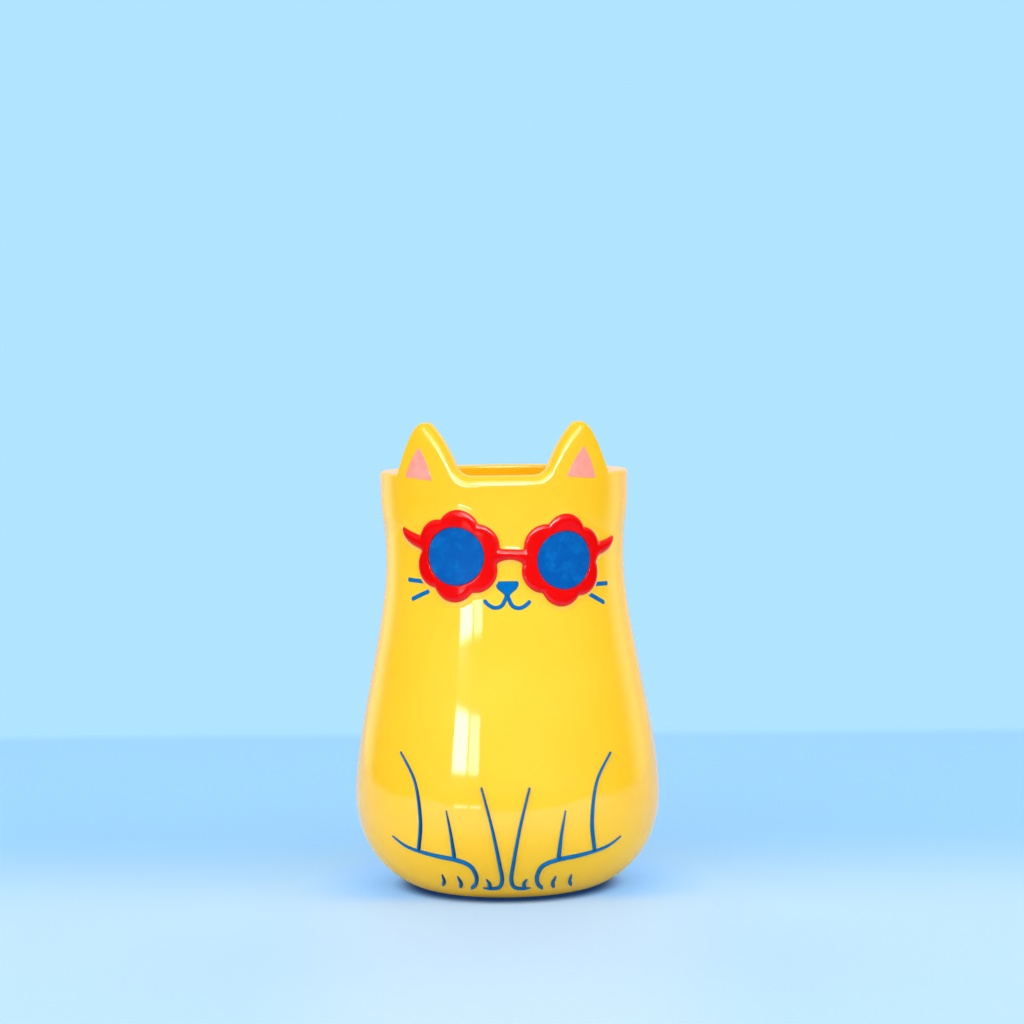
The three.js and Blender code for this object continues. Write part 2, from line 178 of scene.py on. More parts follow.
def makePiece(name, points, faces, material, nodes, crease=50, weld=False, attributes=None):
    mesh = bpy.data.meshes.new(name)
    mesh.from_pydata((np.asarray(points) * mm).tolist(), [], faces)
    for key, values in (attributes or {}).items():
        layer = mesh.attributes.new(key, "FLOAT", "POINT")
        layer.data.foreach_set("value", np.ascontiguousarray(values, dtype=np.float32))
    if weld:
        cleaner = bmesh.new()
        cleaner.from_mesh(mesh)
        bmesh.ops.remove_doubles(cleaner, verts=cleaner.verts, dist=2e-6)
        bmesh.ops.dissolve_degenerate(cleaner, edges=cleaner.edges, dist=1e-7)
        bmesh.ops.recalc_face_normals(cleaner, faces=cleaner.faces)
        cleaner.to_mesh(mesh)
        cleaner.free()
    mesh.polygons.foreach_set("use_smooth", np.ones(len(mesh.polygons), dtype=bool))
    mesh.update()
    mesh.set_sharp_from_angle(angle=math.radians(crease))
    mesh.materials.append(material)
    piece = bpy.data.objects.new(name, mesh)
    scene.collection.objects.link(piece)
    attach(piece, "root")
    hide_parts(*nodes)


# Glazes

def startMaterial(name):
    material = bpy.data.materials.new(name)
    material.use_nodes = True
    tree = material.node_tree
    return material, tree, tree.nodes["Principled BSDF"]


def srgb(red, green, blue):
    def toLinear(v):
        v = v / 255
        return v / 12.92 if v <= 0.04045 else ((v + 0.055) / 1.055) ** 2.4
    return (toLinear(red), toLinear(green), toLinear(blue), 1.0)


def connect(tree, value, socket):
    # plain numbers and colours are set on the socket, everything else is linked to it
    if isinstance(value, (int, float, tuple)):
        socket.default_value = value
    else:
        tree.links.new(value, socket)


def position(tree, space):
    coords = tree.nodes.new("ShaderNodeTexCoord").outputs[space]
    parts = tree.nodes.new("ShaderNodeSeparateXYZ")
    tree.links.new(coords, parts.inputs["Vector"])
    return coords, parts.outputs


def noise(tree, scale, detail, roughness=0.5):
    coords = tree.nodes.new("ShaderNodeTexCoord")
    texture = tree.nodes.new("ShaderNodeTexNoise")
    for key, number in (("Scale", scale), ("Detail", detail), ("Roughness", roughness)):
        texture.inputs[key].default_value = number
    tree.links.new(coords.outputs["Object"], texture.inputs["Vector"])
    return texture.outputs["Fac"]


def spread(tree, value, reach, low=0, high=1):
    # smooth step: low before the reach, high past it
    remap = tree.nodes.new("ShaderNodeMapRange")
    remap.interpolation_type = "SMOOTHSTEP"
    for key, number in zip(("From Min", "From Max", "To Min", "To Max"), (*reach, low, high)):
        remap.inputs[key].default_value = number
    tree.links.new(value, remap.inputs["Value"])
    return remap.outputs["Result"]


def tint(tree, factor, first, second):
    mix = tree.nodes.new("ShaderNodeMix")
    mix.data_type = "RGBA"
    connect(tree, first, mix.inputs["A"])
    connect(tree, second, mix.inputs["B"])
    tree.links.new(factor, mix.inputs["Factor"])
    return mix.outputs["Result"]


def maths(tree, operation, first, second=0.0):
    node = tree.nodes.new("ShaderNodeMath")
    node.operation = operation
    connect(tree, first, node.inputs[0])
    connect(tree, second, node.inputs[1])
    return node.outputs["Value"]


def times(tree, first, *others):
    for other in others:
        first = maths(tree, "MULTIPLY", first, other)
    return first


def attribute(tree, name):
    layer = tree.nodes.new("ShaderNodeAttribute")
    layer.attribute_name = name
    return layer.outputs["Fac"]


def cloud(tree, scale, detail, reach, most, roughness=0.5):
    # soft patches between 0 and most
    return spread(tree, noise(tree, scale, detail, roughness), reach, 0, most)


def gloss(tree, scale, low, high):
    # roughness that wanders between two values
    return spread(tree, noise(tree, scale, 2), (0.3, 0.7), low, high)


def ripple(tree, shader, scale, detail, strength, depth):
    bump = tree.nodes.new("ShaderNodeBump")
    bump.inputs["Strength"].default_value = strength
    bump.inputs["Distance"].default_value = depth
    tree.links.new(noise(tree, scale, detail), bump.inputs["Height"])
    tree.links.new(bump.outputs["Normal"], shader.inputs["Normal"])


def makeGlaze(name, look):
    # a main colour, layers laid over it by noise or by a value stored on the mesh, and an uneven gloss
    material, tree, shader = startMaterial(name)
    colour = look["main"]
    for cover, layer in look["layers"]:
        share = attribute(tree, cover) if isinstance(cover, str) else cloud(tree, **cover)
        colour = tint(tree, share, colour, layer)
    connect(tree, colour, shader.inputs["Base Color"])
    rough = gloss(tree, **look["gloss"])
    if "clayRoughness" in look:
        rough = maths(tree, "ADD", times(tree, attribute(tree, "bare"), look["clayRoughness"]), rough)
    connect(tree, rough, shader.inputs["Roughness"])
    specular = look["specular"]
    if isinstance(specular, dict):
        specular = spread(tree, attribute(tree, "rolled"), **specular)
    connect(tree, specular, shader.inputs["Specular IOR Level"])
    if "ripple" in look:
        ripple(tree, shader, **look["ripple"])
    return material


yellow = {  # over pale clay and bare on the foot ring; deeper orange inside the vase and at the brow as painted shade, and along the frame where the glaze pools, with painted shade there too
    "main": srgb(251, 197, 28),
    "layers": [
        ({"scale": 26, "detail": 3, "reach": (0.35, 0.7), "most": 0.35}, srgb(252, 206, 52)),
        # painted shade inside the vase and at the brow; along the frame the glaze pools, with painted shade
        # as well
        ("poolAndShade", srgb(246, 176, 10)),
        ("bare", srgb(226, 208, 182)),
    ],
    "gloss": {"scale": 60, "low": 0.05, "high": 0.085},
    "clayRoughness": 0.6,
    "specular": 0.62,
    "ripple": {"scale": 55, "detail": 1, "strength": 0.25, "depth": 0.0004},
}
red = {  # glossiest on the rolled edge of the frame
    "main": srgb(230, 0, 0),
    "layers": [({"scale": 90, "detail": 3, "reach": (0.35, 0.75), "most": 0.35}, srgb(204, 0, 4))],
    "gloss": {"scale": 140, "low": 0.07, "high": 0.13},
    "specular": {"reach": (0.3, 0.9), "low": 0.1, "high": 0.4},
    "ripple": {"scale": 160, "detail": 1, "strength": 0.2, "depth": 0.0003},
}
blueLens = {  # mottled where the brush left the colour thinner
    "main": srgb(0, 86, 172),
    "layers": [
        ({"scale": 240, "detail": 4, "roughness": 0.6, "reach": (0.42, 0.76), "most": 0.75},
         srgb(4, 112, 199)),
        ({"scale": 760, "detail": 3, "reach": (0.5, 0.75), "most": 0.35}, srgb(0, 72, 154)),
    ],
    "gloss": {"scale": 300, "low": 0.28, "high": 0.42},
    "specular": 0.05,
    "ripple": {"scale": 420, "detail": 2, "strength": 0.15, "depth": 0.0002},
}
blueLine = {  # darker along the edges of the strokes and the nose's rim; on the raised leg lines this is painted shade, deepest on their right and lower side
    "main": srgb(0, 108, 190),
    "layers": [
        ({"scale": 380, "detail": 3, "reach": (0.4, 0.75), "most": 0.2}, srgb(0, 52, 112)),
        # edge: painted shade along the edges of the strokes
        ("edge", srgb(0, 52, 112)),
    ],
    "gloss": {"scale": 300, "low": 0.12, "high": 0.22},
    "specular": 0.05,
}
pink = {
    "main": srgb(246, 148, 138),
    "layers": [({"scale": 300, "detail": 4, "reach": (0.35, 0.7), "most": 1}, srgb(250, 160, 150))],
    "gloss": {"scale": 240, "low": 0.28, "high": 0.4},
    "specular": 0.5,
}
yellowFinish, redFinish = makeGlaze("yellowGlaze", yellow), makeGlaze("redGlaze", red)
lensFinish, lineFinish = makeGlaze("lensGlaze", blueLens), makeGlaze("lineEnamel", blueLine)
earFinish = makeGlaze("earEnamel", pink)
print("glazes ready")


# Curves drawn on the wall

strokes = {
    "closing": 0.6,  # length of an end, in widths
    "sunk": 0.12,
    "topPoints": 15,
    "backShare": 0.9,
    "fullLift": 0.5,  # share of the greatest width from which a stroke has its full height
    "edgeShade": 0.5,
    "edgePower": 6,
    "lee": (0.8, 0.6),  # across and down: the side whose edge gets the most painted shade
    "leeStart": -0.1,
    "leeBlend": 0.7,
}


def spline(points, count):
    # cubic curve through the points with slopes taken from their neighbours,
    # then walked in steps that are shorter at the ends
    points = np.array(points, float)
    last = len(points) - 1
    t = np.linspace(0, last, 600)
    i = np.minimum(t.astype(int), last - 1)
    w = (t - i)[:, None]
    p0, p1 = points[np.maximum(i - 1, 0)], points[i]
    p2, p3 = points[i + 1], points[np.minimum(i + 2, last)]
    v0, v1 = (p2 - p0) / 2, (p3 - p1) / 2
    dense = (2 * p1 - 2 * p2 + v0 + v1) * w**3 + (-3 * p1 + 3 * p2 - 2 * v0 - v1) * w**2 + v0 * w + p1
    walked = walkAlong(dense)
    share = (1 - np.cos(np.pi * np.linspace(0, 1, count))) / 2
    return pointsAt(share * walked[-1], walked, dense), share, walked[-1]


def sides(path):
    # unit vectors to the left of the way along a path
    way = np.gradient(path, axis=0)
    way /= np.hypot(way[:, 0], way[:, 1])[:, None]
    return together(-way[:, 1], way[:, 0])


def swell(share, taperIn, taperOut, start, end):
    # share of the full width: straight from start up to 1 over taperIn,
    # and a quarter sine from 1 to end over taperOut
    rise = np.clip(share / taperIn, 0, 1)
    fall = np.sin(np.clip((1 - share) / taperOut, 0, 1) * np.pi / 2)
    return (start + (1 - start) * rise) * (end + (1 - end) * fall)


def strokeSection(half):
    # offsets across a stroke: half cos a over its top, then the two edges of a slightly narrower back
    a, back = np.linspace(0, np.pi, strokes["topPoints"]), strokes["backShare"]
    return a, half[:, None] * np.concatenate((np.cos(a), (-back, back)))


def strokeRings(path, half, rise, softness, shaded):
    # height = rise (sin a)^softness over a back that is sunk in the glaze;
    # the colour is darkened at the edges as painted shade, most on the side that looks right and down
    side = sides(path)
    a, offset = strokeSection(half)
    lift = np.minimum(1, half / (strokes["fullLift"] * half.max()))[:, None]
    back = np.full((len(half), 2), -strokes["sunk"])
    height = np.concatenate((rise * lift * np.sin(a) ** softness, back), axis=1)
    across = path[:, :1] + side[:, :1] * offset
    up = path[:, 1:] + side[:, 1:] * offset
    right, down = strokes["lee"]
    lee = (right * side[:, :1] - down * side[:, 1:]) * offset / half[:, None]
    edge = strokes["edgeShade"] * np.abs(offset / half[:, None]) ** strokes["edgePower"]
    edge = np.maximum(edge, shaded * smooth((lee - strokes["leeStart"]) / strokes["leeBlend"]))
    return onWall(across, up, height), edge


def makeStroke(name, points, width, taper, rise, softness, shaded, count=64):
    # taper holds what swell takes; each end closes in about a half circle
    path, share, length = spline(points, count)
    startWidth, endWidth = taper[2:]
    left = np.minimum(share / startWidth, (1 - share) / endWidth)
    close = np.clip(left * length / (strokes["closing"] * width), 0, 1)
    half = width / 2 * swell(share, *taper) * np.sqrt(1 - (1 - close) ** 2)
    rings, edge = strokeRings(path[1:-1], half[1:-1], rise, softness, shaded)
    meshPoints, faces = loft(rings, *onWall(*path[[0, -1]].T, 0.0))
    makePiece(name + "Enamel", meshPoints, faces, lineFinish, [name],
              attributes={"edge": np.append(edge, (1, 1))})


# Sunglasses: outline in their own flat drawing, u across and v up

glasses = {
    "drop": 30.3,
    "shift": 2.25,
    "tilt": math.radians(-2.8),
    "lensSpacing": 40.6,
    "lensRadius": 10.9,
    "petalCount": 6,
    "petalRadius": 8.3,
    "petalReach": 6.2,
    "petalTurn": math.radians(-3),
    "petalBlend": 0.5,
    "rise": 1.95,
    "roll": 2.6,
    "edgeRise": 0.5,
    "innerRound": 0.45,
    "filletWidth": 2.4,
    "lensDrop": 0.4,
    "lensGap": 0.02,
    "lensRound": 0.33,
    "seat": 0.1,
    "bridgeTop": 3.5,
    "bridgeLow": -0.32,
    "bridgeArch": 0.065,
    "bridgeOverlap": 1.0,
    "cornerOverlap": 0.3,
    "cornerReach": 8.1,
    "cornerLift": 8.9,
    "joinBlend": 1.2,
}
halfSpacing = glasses["lensSpacing"] / 2


def onGlasses(u, v, tilt=glasses["tilt"]):
    c, s = math.cos(tilt), math.sin(tilt)
    return u * c - v * s + glasses["shift"], u * s + v * c + vase["rimHeight"] - glasses["drop"]


def softMin(a, b, blend):
    # the smaller of two distances, rounded over where they are within blend of each other
    h = np.clip(0.5 + 0.5 * (b - a) / blend, 0, 1)
    return b + (a - b) * h - blend * h * (1 - h)


def cornerOutline():
    # the swept-up corner is a fin: its lower edge swings up to the tip, its upper edge is nearly straight
    inner = halfSpacing + glasses["lensRadius"] + glasses["cornerOverlap"]
    tip = halfSpacing + glasses["lensRadius"] + glasses["petalReach"] + glasses["cornerReach"]

    def fin(along, up):
        return inner + along * (tip - inner), up * glasses["cornerLift"]

    lower = bezier(fin(0, 0.07), fin(0.68, 0.24), fin(1.01, 0.48), fin(1, 1), 36)
    upper = quadratic(fin(1, 1), fin(0.57, 0.79), fin(0, 0.63), 20)
    return np.concatenate((lower[:-1], upper))


cornerEdge = cornerOutline()


def outlineGap(u, v, outline):
    # distance to the nearest side of a closed outline, below zero inside it
    nearest = np.full(np.broadcast(u, v).shape, 1e9)
    inside = np.zeros(nearest.shape, dtype=bool)
    for (au, av), (bu, bv) in zip(outline, np.roll(outline, -1, axis=0)):
        du, dv, fromU, fromV = bu - au, bv - av, u - au, v - av
        t = np.clip((fromU * du + fromV * dv) / (du * du + dv * dv), 0, 1)
        nearest = np.minimum(nearest, (fromU - du * t) ** 2 + (fromV - dv * t) ** 2)
        inside ^= ((av > v) != (bv > v)) & (fromU < du * fromV / (dv if dv else 1))
    return np.where(inside, -np.sqrt(nearest), np.sqrt(nearest))


def outlineDistance(u, v):
    # distance to the edge of the frame, below zero inside it: petals, bridge and corners blended together
    flowers = np.full(np.broadcast(u, v).shape, 1e3)
    reach = glasses["lensRadius"] + glasses["petalReach"] - glasses["petalRadius"]
    for side in (-1, 1):
        flower = np.full(flowers.shape, 1e3)
        for k in range(glasses["petalCount"]):
            angle = math.pi / 2 + glasses["petalTurn"] + 2 * math.pi * k / glasses["petalCount"]
            petal = np.hypot(u - side * halfSpacing - reach * math.cos(angle), v - reach * math.sin(angle))
            flower = softMin(flower, petal - glasses["petalRadius"], glasses["petalBlend"])
        flowers = np.minimum(flowers, flower)
    under = glasses["bridgeLow"] - glasses["bridgeArch"] * u**2 - v
    under = under / np.hypot(1, 2 * glasses["bridgeArch"] * u)
    ends = np.abs(u) - halfSpacing + glasses["lensRadius"] + glasses["bridgeOverlap"]
    bridge = np.maximum(np.maximum(v - glasses["bridgeTop"], under), ends)
    corner = outlineGap(np.abs(u), v, cornerEdge)
    return softMin(softMin(flowers, bridge, glasses["joinBlend"]), corner, glasses["joinBlend"])


def filletRise(across, height):
    # the body's glaze climbs to the frame: (1 - d / width)^2 outside its edge
    c, s = math.cos(glasses["tilt"]), math.sin(glasses["tilt"])
    x, y = across - glasses["shift"], height - vase["rimHeight"] + glasses["drop"]
    away = outlineDistance(x * c + y * s, y * c - x * s)
    return glasses["edgeRise"] * (1 - np.clip(away / glasses["filletWidth"], 0, 1)) ** 2


# Body: rings about the axis whose upper edge follows the rim and the ears

ears = {
    "azimuth": math.radians(40.25),
    "shift": -0.55,
    "rise": 19.2,
    "tipRadius": 2.2,
    "tipTurn": math.radians(38.5),
    "footSlope": math.radians(64.3),
    "innerReach": 14.3,
    "outerReach": 12.8,
    "fillet": 7.0,
    "innerWidth": 13.8,
    "innerRise": 11.2,
    "innerDrop": 1.3,
    "innerTip": 1.7,
    "innerShift": -1.8,
    "innerTurn": math.radians(-4.5),
    "innerBow": (0.6, 0.62),
    "innerMiddle": 0.35,
}
bodyGrid = {
    "step": 0.62,
    "backStep": 2.2,
    "fineTo": 48.0,
    "faceLow": 105.0,
    "faceHigh": 148.0,
    "faceStep": 0.6,
    "faceAzimuth": math.radians(72),
    "arcPoints": 14,
    "earInside": 30,
    "earOutside": 34,
    "footRows": 44,
    "flankRows": 30,
    "collarRows": 14,
    "lipRows": 10,
    "insideRows": 22,
    "underFrom": 5.0,
    "ringFrom": 0.8,
    "floorTo": 4.0,
    "insideGap": 2.0,
}
# bare clay on the foot ring, painted shade inside the vase and at the brow, and glaze that pools with painted
# shade along the frame
glazeAndShade = {
    "inside": 0.5,
    "fillet": 0.3,
    "filletMost": 0.2,
    "brow": 0.22,
    "browLow": 138.0,
    "browBlend": 14.0,
    "bareBelow": 0.35,
    "bareBlend": 0.3,
}
middleRadius = vase["rimRadius"] - vase["wall"] / 2
earTip = ears["azimuth"] * middleRadius


def halfSkyline():
    # upper edge of the wall, unrolled from the middle of the front to the middle of the back:
    # flat rim, hollow fillet, inner side of the ear, round tip, outer side, flat rim
    slope, turn, tipRadius, rise = ears["footSlope"], ears["tipTurn"], ears["tipRadius"], ears["rise"]
    tipX, tipY = tipRadius * math.sin(turn), rise - tipRadius * (1 - math.cos(turn))

    def bend(reach):
        # where the tangent at the end of the tip's arc meets the tangent at a foot of the ear
        run = (reach - tipX) * math.sin(slope) - tipY * math.cos(slope)
        far = run / math.sin(slope - turn)
        return tipX + far * math.cos(turn), tipY - far * math.sin(turn)

    innerX, innerY = bend(ears["innerReach"])
    outerX, outerY = bend(ears["outerReach"])
    fillet, foot = ears["fillet"], earTip + ears["outerReach"]
    front = earTip - ears["innerReach"] - fillet * math.tan(slope / 2)
    a = np.linspace(0, slope, bodyGrid["arcPoints"])
    hollow = together(front + fillet * np.sin(a), fillet * (1 - np.cos(a)))
    b = np.linspace(-turn, turn, bodyGrid["arcPoints"])
    top = together(earTip + tipRadius * np.sin(b), rise - tipRadius * (1 - np.cos(b)))
    back = math.pi * middleRadius

    def count(length, step=bodyGrid["step"]):
        return math.ceil(length / step)

    return np.concatenate((
        straight((0, 0), (front, 0), count(front)),
        hollow[:-1],
        quadratic(hollow[-1], (earTip - innerX, innerY), top[0], bodyGrid["earInside"]),
        top[:-1],
        quadratic(top[-1], (earTip + outerX, outerY), (foot, 0), bodyGrid["earOutside"]),
        straight((foot, 0), (bodyGrid["fineTo"], 0), count(bodyGrid["fineTo"] - foot)),
        straight((bodyGrid["fineTo"], 0), (back, 0), count(back - bodyGrid["fineTo"], bodyGrid["backStep"])),
        [(back, 0)],
    ))


def makeBody():
    right = halfSkyline()
    edge = np.concatenate((right, right[-2:0:-1] * (-1, 1)))
    azimuth = edge[:, 0] / middleRadius + ears["shift"] / vase["rimRadius"]
    top = vase["rimHeight"] + edge[:, 1]
    plain = smooth((np.abs(edge[:, 0]) - earTip + lip["blend"]) / (2 * lip["blend"]))
    outerRound = lip["frontRound"] + (lip["round"] - lip["frontRound"]) * plain
    innerRound = lip["frontInside"] + (lip["round"] - lip["frontInside"]) * plain
    columns = len(azimuth)

    # underside: the recess, its round edge, the flat of the foot ring and the ring's two small rounds
    standing, recess, step = vase["footRadius"], vase["footRecess"], vase["footHeight"]
    ringInner = standing - vase["footRingWidth"]
    turn = np.linspace(0, np.pi / 2, 6)[1:]
    rising, falling = (vase["footRound"] * (1 - wave(turn)) for wave in (np.cos, np.sin))
    under = np.concatenate((
        together(np.linspace(bodyGrid["underFrom"], ringInner - recess, 5), recess),
        together(ringInner - recess * np.cos(turn), recess * (1 - np.sin(turn))),
        together(np.linspace(ringInner + bodyGrid["ringFrom"], standing - vase["footRound"], 4), 0),
        together(standing - falling, rising),
        together(standing + rising, step - falling),
    ))
    foot = wallStretches(0, vase["bottomRadius"], step, bodyGrid["footRows"])[0]
    flank = np.linspace(vase["bellyHeight"], bodyGrid["faceLow"], bodyGrid["flankRows"])[1:-1]
    faceRows = np.arange(bodyGrid["faceLow"], bodyGrid["faceHigh"], bodyGrid["faceStep"])
    heights = np.concatenate((flank, faceRows))
    outside = np.concatenate((under, foot, together(radiusAt(heights), heights)))

    def fixedRings(line):
        return np.broadcast_to(line[:, None, :], (len(line), columns, 2)).copy()

    def collar(topOfCollar, inset):
        low, share = bodyGrid["faceHigh"], np.linspace(0, 1, bodyGrid["collarRows"])[:, None]
        heights = low + share * (topOfCollar - low)
        return together(radiusAt(heights) - inset, heights)

    # lip: a quarter round outside, a flat, a quarter round inside
    rim, wall = vase["rimRadius"], vase["wall"]
    angle = np.linspace(0, np.pi / 2, bodyGrid["lipRows"])[1:, None]
    inward, down = 1 - np.cos(angle), 1 - np.sin(angle)
    outerLip = together(rim - outerRound * inward, top - outerRound * down)
    innerLip = together(rim - wall + innerRound * inward, top - innerRound * down)[::-1]
    flat = outerLip[-1] + np.array([0.2, 0.8])[:, None, None] * (innerLip[0] - outerLip[-1])
    lipRings = np.concatenate((outerLip, flat, innerLip))
    outerCollar = collar(top - outerRound, 0)
    innerCollar = collar(top - innerRound, wall)[::-1]
    floorRadius = vase["bottomRadius"] - wall
    inside = np.concatenate(wallStretches(wall, floorRadius, floorHeight, bodyGrid["insideRows"]))
    inside = inside[inside[:, 1] < bodyGrid["faceHigh"] - bodyGrid["insideGap"]][::-1]
    floor = together(np.linspace(floorRadius, bodyGrid["floorTo"], 6)[1:], floorHeight)
    outer = np.concatenate((fixedRings(outside), outerCollar))
    inner = np.concatenate((innerCollar, fixedRings(inside), fixedRings(floor)))
    section = np.concatenate((outer, lipRings, inner))

    radius, height = section[..., 0], section[..., 1]
    rows = len(section)
    row = np.arange(rows)[:, None]
    isOuter, isInner = row < len(outer), row >= len(outer) + len(lipRings)
    nearFace = isOuter & (height > bodyGrid["faceLow"]) & (np.abs(azimuth) < bodyGrid["faceAzimuth"])
    proud = np.where(nearFace, filletRise(azimuth * radiusAt(height), height), 0)
    out = radius + proud
    rings = together(out * np.sin(azimuth), -out * np.cos(azimuth), height)

    # the foot ring is bare; the colour is deepened as painted shade inside the vase and at the brow, and
    # along the frame where the glaze pools, with painted shade there too
    bare = np.clip((glazeAndShade["bareBelow"] - height) / glazeAndShade["bareBlend"], 0, 1)
    bare = bare * (radius > ringInner - recess) * isOuter
    poolAndShade = np.clip(glazeAndShade["fillet"] * proud / glasses["edgeRise"], 0, glazeAndShade["filletMost"])
    poolAndShade += glazeAndShade["brow"] * smooth((height - glazeAndShade["browLow"]) / glazeAndShade["browBlend"])
    poolAndShade = np.where(isInner, glazeAndShade["inside"], poolAndShade)
    points, faces = loft(rings, (0, 0, recess), (0, 0, floorHeight))
    makePiece("glazedBody", points, faces, yellowFinish, ["vase_body"], crease=60,
              attributes={"bare": np.append(bare, (0, 0)), "poolAndShade": np.append(poolAndShade, (0, 0))})
    print("body", rows, "x", columns)


makeBody()


frameGrid = {
    "bridgeRows": 17,
    "rays": 1500,
    "cornerRays": 500,
    "cornerFan": (154, 164),
    "searchFrom": 0.5,
    "searchTo": 34.0,
    "searchSteps": 300,
    "roundRows": 6,
    "faceRows": 25,
    "rowPower": 0.9,
    "pitch": 0.36,
    "blur": 12,
}


def halfFrame(side):
    # the frame's edge is found along rays from a lens centre, then joined to the lens opening by
    # straight rows; at the middle of the bridge the half ends on the line that it shares with the other
    inner, roundEdge = glasses["lensRadius"], glasses["innerRound"]
    bridge = np.linspace(glasses["bridgeLow"], glasses["bridgeTop"], frameGrid["bridgeRows"])
    bridgeAngles = np.arctan2(bridge, halfSpacing)
    sweep = np.linspace(bridgeAngles[-1], bridgeAngles[0] + 2 * math.pi, frameGrid["rays"])
    corner = np.radians(np.linspace(*frameGrid["cornerFan"], frameGrid["cornerRays"]))
    sweep = np.unique(np.concatenate((sweep, corner)))
    steps = np.linspace(inner + frameGrid["searchFrom"], frameGrid["searchTo"], frameGrid["searchSteps"])
    c, s = np.cos(sweep)[:, None], np.sin(sweep)[:, None]
    gap = outlineDistance(side * (halfSpacing - steps * c), steps * s)
    first = np.argmax(gap > 0, axis=1)
    i = np.arange(len(sweep))
    before, after = gap[i, first - 1], gap[i, first]
    radii = steps[first - 1] + (steps[1] - steps[0]) * before / (before - after)
    hit = together(radii * np.cos(sweep), radii * np.sin(sweep))
    walked = walkAlong(hit)
    even = np.linspace(0, walked[-1], int(walked[-1] / frameGrid["pitch"]))[1:-1]
    hit = pointsAt(even, walked, hit)
    polar = np.concatenate((bridgeAngles, np.interp(even, walked, sweep)))
    edge = np.concatenate((together(halfSpacing, bridge), hit))
    # the rows meet the lens opening at angles averaged over their neighbours, so they fan out into the corner
    blur = frameGrid["blur"]
    weights = np.hanning(2 * blur + 3)[1:-1]
    padded = np.concatenate((polar[-blur:] - 2 * math.pi, polar, polar[:blur] + 2 * math.pi))
    fan = np.convolve(padded, weights / weights.sum(), "valid")

    lensWay = together(np.cos(fan), np.sin(fan))[:, None, :]
    turn = np.linspace(0, np.pi / 2, frameGrid["roundRows"])
    lensSide = (inner + roundEdge * (1 - np.cos(turn)))[None, :, None] * lensWay
    share = np.linspace(0, 1, frameGrid["faceRows"] + 1)[1:]
    share = (np.sin(share * np.pi / 2) ** frameGrid["rowPower"])[None, :, None]
    outward = lensSide[:, -1:] + share * (edge[:, None, :] - lensSide[:, -1:])
    flat = np.concatenate((lensSide, outward), axis=1)
    u, v = side * (halfSpacing - flat[..., 0]), flat[..., 1]
    depth = np.clip(-outlineDistance(u, v) / glasses["roll"], 0, 1)
    rise = glasses["edgeRise"] + (glasses["rise"] - glasses["edgeRise"]) * np.sqrt(1 - (1 - depth) ** 2)
    away = np.clip((np.hypot(flat[..., 0], flat[..., 1]) - inner) / roundEdge, 0, 1)
    rise -= roundEdge * (1 - np.sqrt(1 - (1 - away) ** 2))
    u, v = (np.concatenate((k[:, :1], k, k[:, -1:]), axis=1) for k in (u, v))
    points = onWall(*onGlasses(u, v), np.pad(rise, ((0, 0), (1, 1)), constant_values=glasses["seat"]))
    rolled = np.pad(1 - depth, ((0, 0), (1, 1)), mode="edge")
    rows, columns = points.shape[:2]
    quads = ringFaces(rows, columns, True)
    # the two halves are open to each other at the middle of the bridge
    ray, row = quads[:, 0] // columns, quads[:, 0] % columns
    inBridge = (ray < len(bridge) - 1) & (row == columns - 2)
    return points.reshape(-1, 3), quads[~inBridge], rolled.ravel()


def makeFrame():
    leftPoints, leftFaces, leftRolled = halfFrame(-1)
    rightPoints, rightFaces, rightRolled = halfFrame(1)
    points = np.vstack((leftPoints, rightPoints))
    faces = leftFaces.tolist() + (rightFaces + len(leftPoints)).tolist()
    rolled = np.concatenate((leftRolled, rightRolled))
    makePiece("glazedFrame", points, faces, redFinish, ["sunglasses_frame"],
              crease=55, weld=True, attributes={"rolled": rolled})
    print("sunglasses frame", len(faces))


lensGrid = {"points": 96, "roundRows": 5, "discRows": 14, "innermost": 0.06}


def makeLens(name, side):
    # a disc that lies a little lower than the rim, its edge turned down
    outer, roundEdge = glasses["lensRadius"] - glasses["lensGap"], glasses["lensRound"]
    seat, top = glasses["seat"], glasses["rise"] - glasses["lensDrop"]
    angle = np.linspace(0, 2 * np.pi, lensGrid["points"], endpoint=False)
    edge = np.linspace(np.pi / 2, 0, lensGrid["roundRows"])[:-1]
    disc = np.linspace(1, lensGrid["innermost"], lensGrid["discRows"]) * (outer - roundEdge)
    radii = np.concatenate(([outer], outer - roundEdge * (1 - np.sin(edge)), disc))[:, None]
    heights = np.concatenate(([seat], top - roundEdge * (1 - np.cos(edge)), np.full(len(disc), top)))
    u, v = side * halfSpacing + radii * np.cos(angle), radii * np.sin(angle)
    rings = onWall(*onGlasses(u, v), heights[:, None])
    base, crown = onWall(*onGlasses(side * halfSpacing, 0.0), np.array((seat, top)))
    points, faces = loft(rings, base, crown)
    makePiece(name + "Glaze", points, faces, lensFinish, [name])


makeFrame()
makeLens("left_lens", -1)
makeLens("right_lens", 1)


# Painted patches: an outline shrunk in rings to its middle, seen from the front

paint = {
    "rise": 0.14,
    "earRise": 0.12,
    "sunk": 0.1,
    "softness": 0.3,
    "roundShare": 0.03,  # share of a patch over which its edge rounds over
    "flatFrom": 0.9,
    "flatTo": 0.08,
    "flatRows": 10,
}


